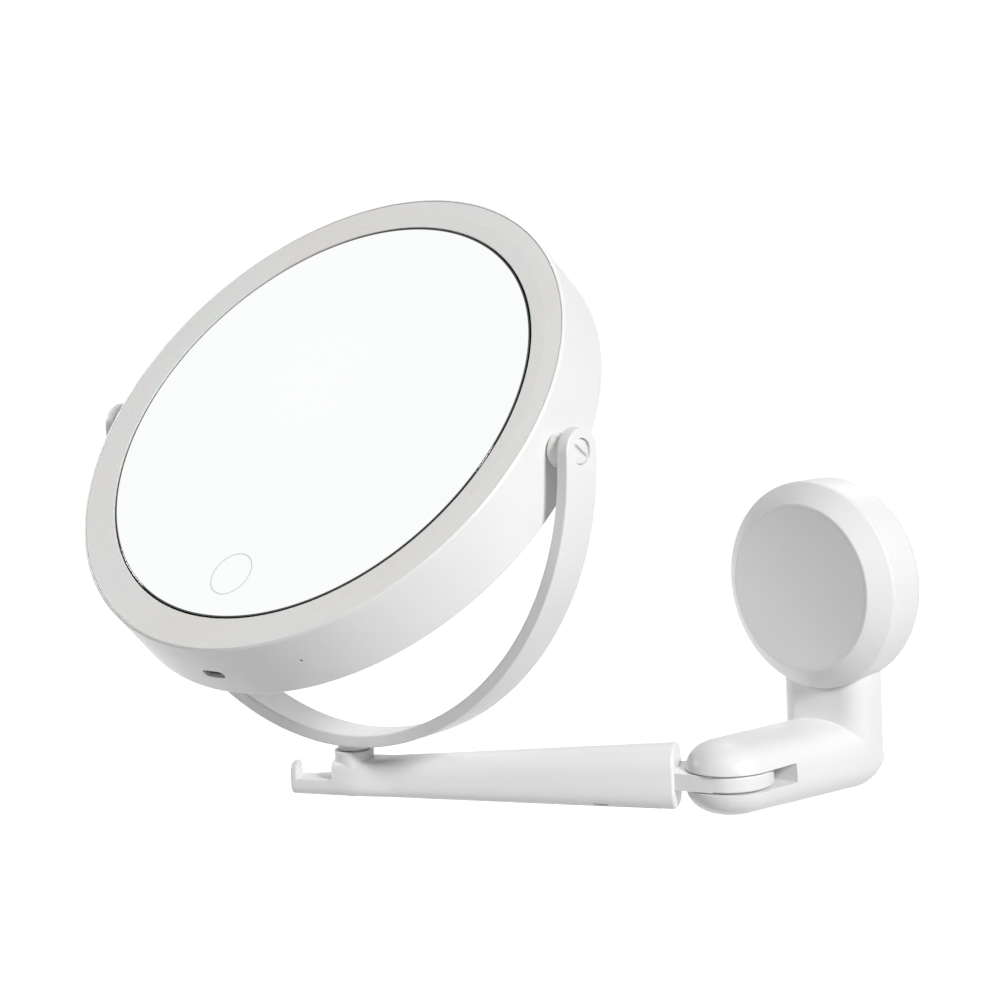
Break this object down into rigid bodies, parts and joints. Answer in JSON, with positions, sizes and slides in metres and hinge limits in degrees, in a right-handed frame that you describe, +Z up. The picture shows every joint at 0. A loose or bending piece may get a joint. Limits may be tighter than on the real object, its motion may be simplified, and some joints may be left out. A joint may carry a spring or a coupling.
{
  "type": "extendable shaving mirror",
  "caption": "Lit round shaving mirror that tilts in a U-shaped yoke on a folding arm, held to a wall by a twist-lock suction base.",
  "frame": {"origin": "centre of the suction pad's back face, on the wall", "axes": "+Y points into the wall, -Y into the room, +Z up, +X to the right when facing the wall"},
  "size_m": [0.2634, 0.2191, 0.2203],
  "materials": {
    "white_shell": "satin moulded ABS",
    "white_inner": "matte moulded ABS",
    "frosted_diffuser": "frosted light-guide plastic",
    "mirror": "silvered glass",
    "foam_tape": "black foam tape",
    "steel": "plated steel",
    "screw_white": "white-plated steel",
    "brass": "turned brass",
    "nylon": "natural nylon",
    "soft_pad": "soft translucent elastomer",
    "circuit_board": "soldermask on glass-fibre board",
    "led_board": "white soldermask",
    "battery_wrap": "foil pouch",
    "lead_sleeve": "silicone sleeve",
    "indicator": "dark light pipe"
  },
  "bodies": {
    "base": {"suction_pad": "soft_pad", "wall_bracket": "white_shell", "bracket_rear_cover": "white_shell", "thrust_washer": "nylon", "hinge_screw": "steel", "hinge_insert": "brass"},
    "stud": {"pull_stud": "steel"},
    "knob": {"lock_knob": "white_shell", "knob_cap": "white_shell", "knob_nut": "brass"},
    "arm": {"arm_shell": "white_shell", "arm_bottom_cover": "white_shell", "arm_cover_screw_1": "steel", "arm_cover_screw_2": "steel", "hinge_bush": "nylon", "swivel_plug": "white_shell"},
    "yoke": {"yoke_frame": "white_shell", "swivel_washer": "steel", "swivel_spring_washer": "steel", "swivel_screw": "steel"},
    "head": {"head_housing": "white_shell", "back_cover": "white_shell", "back_cover_screw_1": "steel", "back_cover_screw_2": "steel", "back_cover_screw_3": "steel", "back_cover_screw_4": "steel", "back_cover_screw_5": "steel", "diffuser_ring": "frosted_diffuser", "mirror_glass": "mirror", "mirror_tape": "foam_tape", "mirror_carrier": "white_inner", "carrier_screw_1": "steel", "carrier_screw_2": "steel", "carrier_screw_3": "steel", "led_ring_board": "led_board", "control_board": "circuit_board", "charging_socket": "steel", "battery_cell": "battery_wrap", "battery_lead": "lead_sleeve", "light_lead": "lead_sleeve", "touch_electrode": "brass", "indicator_lens": "indicator", "pivot_insert_left": "brass", "pivot_bush_left": "white_shell", "pivot_screw_left": "screw_white", "pivot_insert_right": "brass", "pivot_bush_right": "white_shell", "pivot_screw_right": "screw_white"}
  },
  "joints": [
    {"name": "knob_twist", "type": "hinge", "parent": "base", "child": "knob", "pos_m": [0, 0, 0], "axis": [0, -1, 0], "range_deg": [0, 120]},
    {"name": "stud_pull", "type": "slide", "parent": "base", "child": "stud", "axis": [0, -1, 0], "range_m": [0, 0.0015]},
    {"name": "arm_swing", "type": "hinge", "parent": "base", "child": "arm", "pos_m": [0, -0.0637, -0.0608], "axis": [0, 0, 1], "range_deg": [-33.9, 146.1]},
    {"name": "yoke_swivel", "type": "hinge", "parent": "arm", "child": "yoke", "pos_m": [-0.11371, -0.14011, -0.0608], "axis": [0, 0, 1], "continuous": true},
    {"name": "head_tilt", "type": "hinge", "parent": "yoke", "child": "head", "pos_m": [-0.11371, -0.14011, 0.0634], "axis": [0.9956, 0.0941, 0], "continuous": true}
  ],
  "couplings": [
    {"joint": "stud_pull", "follows": "knob_twist", "m_per_rad": 0.0007162}
  ]
}
